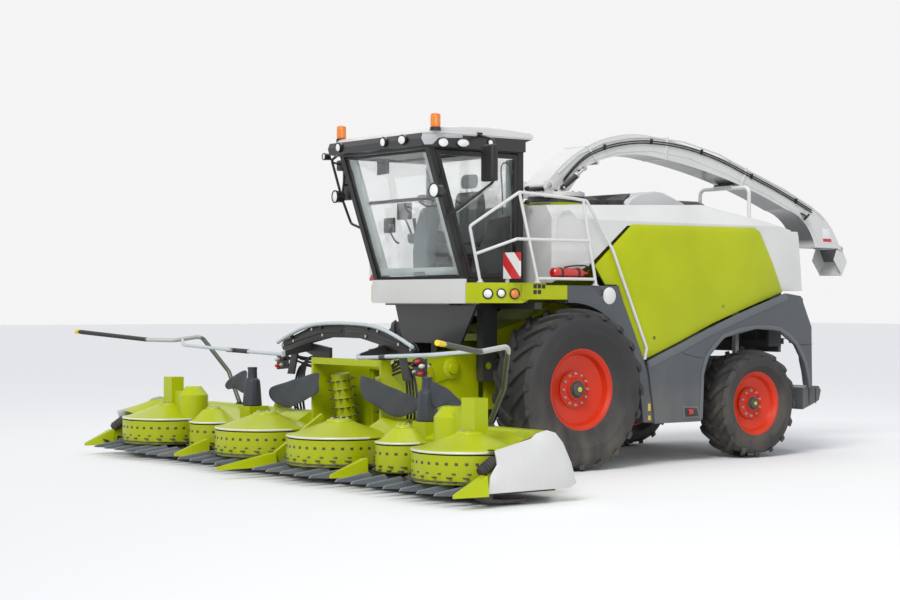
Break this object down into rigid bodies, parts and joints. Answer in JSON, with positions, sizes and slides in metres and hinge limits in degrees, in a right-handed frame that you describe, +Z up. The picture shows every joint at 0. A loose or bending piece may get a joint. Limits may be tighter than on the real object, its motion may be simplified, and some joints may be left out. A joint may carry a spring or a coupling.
{
  "type": "forage harvester",
  "caption": "Self-propelled forage harvester with a cab, a turning discharge spout, steered rear wheels and a folding rotary maize header on its feeder housing.",
  "frame": {"origin": "on the ground below the centre of the overall box", "axes": "+Z up, the machine's front faces -Y, its left side is +X"},
  "size_m": [7.5, 9.43, 3.8617],
  "materials": {
    "lime_paint": "gloss",
    "white_paint": "gloss",
    "slate_plastic": "satin",
    "black_steel": "satin",
    "rim_paint": "gloss",
    "tyre_rubber": "matt",
    "window_glass": "clear",
    "black_plastic": "matt",
    "frame_steel": "satin",
    "lamp_plastic": "clear lenses, dark housings, amber domes",
    "seat_fabric": "woven",
    "boot_rubber": "matt",
    "rod_chrome": "polished",
    "board_sheet": "red and white stripes"
  },
  "bodies": {
    "chassis": {"main_frame": "frame_steel", "axles": "frame_steel", "engine_block": "frame_steel", "crop_duct": "lime_paint", "engine_hood": "white_paint", "side_panels": "lime_paint", "front_fenders": "slate_plastic", "rear_skirts": "slate_plastic", "rear_weight": "slate_plastic", "platform": "lime_paint", "handrails": "white_paint", "spout_rest_arch": "black_steel", "cab_frame": "black_steel", "front_panel": "white_paint", "cab_windows": "window_glass", "cab_roof": "white_paint", "cab_interior": "seat_fabric", "lamps": "lamp_plastic", "warning_boards": "board_sheet", "mirrors": "black_plastic"},
    "cab_door": {"cab_door": "black_steel", "cab_door_glass": "window_glass"},
    "rear_door": {"rear_screen_door": "slate_plastic"},
    "turret": {"spout_turret": "white_paint"},
    "spout": {"spout": "white_paint"},
    "flap": {"spout_flap": "white_paint"},
    "lift_barrel": {"spout_lift_barrel": "black_steel"},
    "lift_rod": {"spout_lift_rod": "rod_chrome"},
    "header": {"feeder_housing": "lime_paint", "header_centre": "lime_paint", "centre_fingers": "slate_plastic", "crop_press_centre": "black_steel"},
    "wheel_front_left": {"tyre_front_left": "tyre_rubber", "rim_front_left": "rim_paint"},
    "knuckle_left": {"steering_knuckle_left": "frame_steel"},
    "wheel_rear_left": {"tyre_rear_left": "tyre_rubber", "rim_rear_left": "rim_paint"},
    "drum_left": {"feed_drum_left": "lime_paint"},
    "wing_left": {"wing_left": "lime_paint", "wing_fingers_left": "slate_plastic", "wing_side_shield_left": "white_paint", "crop_press_arm_left": "black_steel", "drive_boot_left": "boot_rubber"},
    "rotor_centre_left": {"rotor_centre_left": "lime_paint"},
    "rotor_small_left": {"rotor_small_left": "lime_paint"},
    "rotor_outer_left": {"rotor_outer_left": "lime_paint"},
    "wheel_front_right": {"tyre_front_right": "tyre_rubber", "rim_front_right": "rim_paint"},
    "knuckle_right": {"steering_knuckle_right": "frame_steel"},
    "wheel_rear_right": {"tyre_rear_right": "tyre_rubber", "rim_rear_right": "rim_paint"},
    "drum_right": {"feed_drum_right": "lime_paint"},
    "wing_right": {"wing_right": "lime_paint", "wing_fingers_right": "slate_plastic", "wing_side_shield_right": "white_paint", "crop_press_arm_right": "black_steel", "drive_boot_right": "boot_rubber"},
    "rotor_centre_right": {"rotor_centre_right": "lime_paint"},
    "rotor_small_right": {"rotor_small_right": "lime_paint"},
    "rotor_outer_right": {"rotor_outer_right": "lime_paint"}
  },
  "joints": [
    {"name": "front_wheel_spin_left", "type": "hinge", "parent": "chassis", "child": "wheel_front_left", "pos_m": [1.2, -0.985, 0.885], "axis": [1, 0, 0], "continuous": true},
    {"name": "steering_left", "type": "hinge", "parent": "chassis", "child": "knuckle_left", "pos_m": [0.69, 1.895, 0.64], "axis": [0, 0, 1], "range_deg": [-40, 40]},
    {"name": "rear_wheel_spin_left", "type": "hinge", "parent": "knuckle_left", "child": "wheel_rear_left", "pos_m": [1.075, 1.895, 0.64], "axis": [1, 0, 0], "continuous": true},
    {"name": "feed_drum_spin_left", "type": "hinge", "parent": "header", "child": "drum_left", "pos_m": [0.43, -2.785, 0.33], "axis": [0, -0.1736, 0.9848], "continuous": true},
    {"name": "rotor_centre_spin_left", "type": "hinge", "parent": "header", "child": "rotor_centre_left", "pos_m": [0.735, -3.685, 0.25], "axis": [0, 0, 1], "continuous": true},
    {"name": "wing_fold_left", "type": "hinge", "parent": "header", "child": "wing_left", "pos_m": [1.5, -3.005, 0.76], "axis": [0, -1, 0], "range_deg": [0, 95]},
    {"name": "rotor_small_spin_left", "type": "hinge", "parent": "wing_left", "child": "rotor_small_left", "pos_m": [1.87, -3.685, 0.25], "axis": [0, 0, 1], "continuous": true},
    {"name": "rotor_outer_spin_left", "type": "hinge", "parent": "wing_left", "child": "rotor_outer_left", "pos_m": [2.935, -3.685, 0.25], "axis": [0, 0, 1], "continuous": true},
    {"name": "front_wheel_spin_right", "type": "hinge", "parent": "chassis", "child": "wheel_front_right", "pos_m": [-1.2, -0.985, 0.885], "axis": [1, 0, 0], "continuous": true},
    {"name": "steering_right", "type": "hinge", "parent": "chassis", "child": "knuckle_right", "pos_m": [-0.69, 1.895, 0.64], "axis": [0, 0, 1], "range_deg": [-40, 40]},
    {"name": "rear_wheel_spin_right", "type": "hinge", "parent": "knuckle_right", "child": "wheel_rear_right", "pos_m": [-1.075, 1.895, 0.64], "axis": [1, 0, 0], "continuous": true},
    {"name": "feed_drum_spin_right", "type": "hinge", "parent": "header", "child": "drum_right", "pos_m": [-0.43, -2.785, 0.33], "axis": [0, -0.1736, 0.9848], "continuous": true},
    {"name": "rotor_centre_spin_right", "type": "hinge", "parent": "header", "child": "rotor_centre_right", "pos_m": [-0.735, -3.685, 0.25], "axis": [0, 0, 1], "continuous": true},
    {"name": "wing_fold_right", "type": "hinge", "parent": "header", "child": "wing_right", "pos_m": [-1.5, -3.005, 0.76], "axis": [0, 1, 0], "range_deg": [0, 95]},
    {"name": "rotor_small_spin_right", "type": "hinge", "parent": "wing_right", "child": "rotor_small_right", "pos_m": [-1.87, -3.685, 0.25], "axis": [0, 0, 1], "continuous": true},
    {"name": "rotor_outer_spin_right", "type": "hinge", "parent": "wing_right", "child": "rotor_outer_right", "pos_m": [-2.935, -3.685, 0.25], "axis": [0, 0, 1], "continuous": true},
    {"name": "cab_door_swing", "type": "hinge", "parent": "chassis", "child": "cab_door", "pos_m": [0.86, -2.0928, 2.1], "axis": [0, 0.3232, -0.9463], "range_deg": [0, 23]},
    {"name": "rear_door_swing", "type": "hinge", "parent": "chassis", "child": "rear_door", "pos_m": [0.845, 2.783, 1.4], "axis": [0, 0, -1], "range_deg": [0, 110]},
    {"name": "spout_turn", "type": "hinge", "parent": "chassis", "child": "turret", "pos_m": [0, -0.155, 2.9903], "axis": [0, 0, 1], "range_deg": [-105, 105]},
    {"name": "spout_lift", "type": "hinge", "parent": "turret", "child": "spout", "pos_m": [0, -0.465, 3.19], "axis": [1, 0, 0], "range_deg": [0, 30]},
    {"name": "flap_tilt", "type": "hinge", "parent": "spout", "child": "flap", "pos_m": [0, 4.595, 2.553], "axis": [1, 0, 0], "range_deg": [0, 40]},
    {"name": "lift_barrel_pivot", "type": "hinge", "parent": "turret", "child": "lift_barrel", "pos_m": [0.29, -0.305, 3.165], "axis": [1, 0, 0], "range_deg": [0, 36]},
    {"name": "lift_rod_slide", "type": "slide", "parent": "lift_barrel", "child": "lift_rod", "axis": [0, 0.8146, 0.5801], "range_m": [0, 0.08]},
    {"name": "header_lift", "type": "hinge", "parent": "chassis", "child": "header", "pos_m": [0, -1.545, 1.13], "axis": [-1, 0, 0], "range_deg": [0, 15]}
  ],
  "couplings": [
    {"joint": "steering_right", "follows": "steering_left", "ratio": 1},
    {"joint": "feed_drum_spin_right", "follows": "feed_drum_spin_left", "ratio": -1},
    {"joint": "wing_fold_right", "follows": "wing_fold_left", "ratio": 1},
    {"joint": "lift_barrel_pivot", "follows": "spout_lift", "ratio": 1.17},
    {"joint": "lift_rod_slide", "follows": "spout_lift", "m_per_rad": 0.1413}
  ]
}
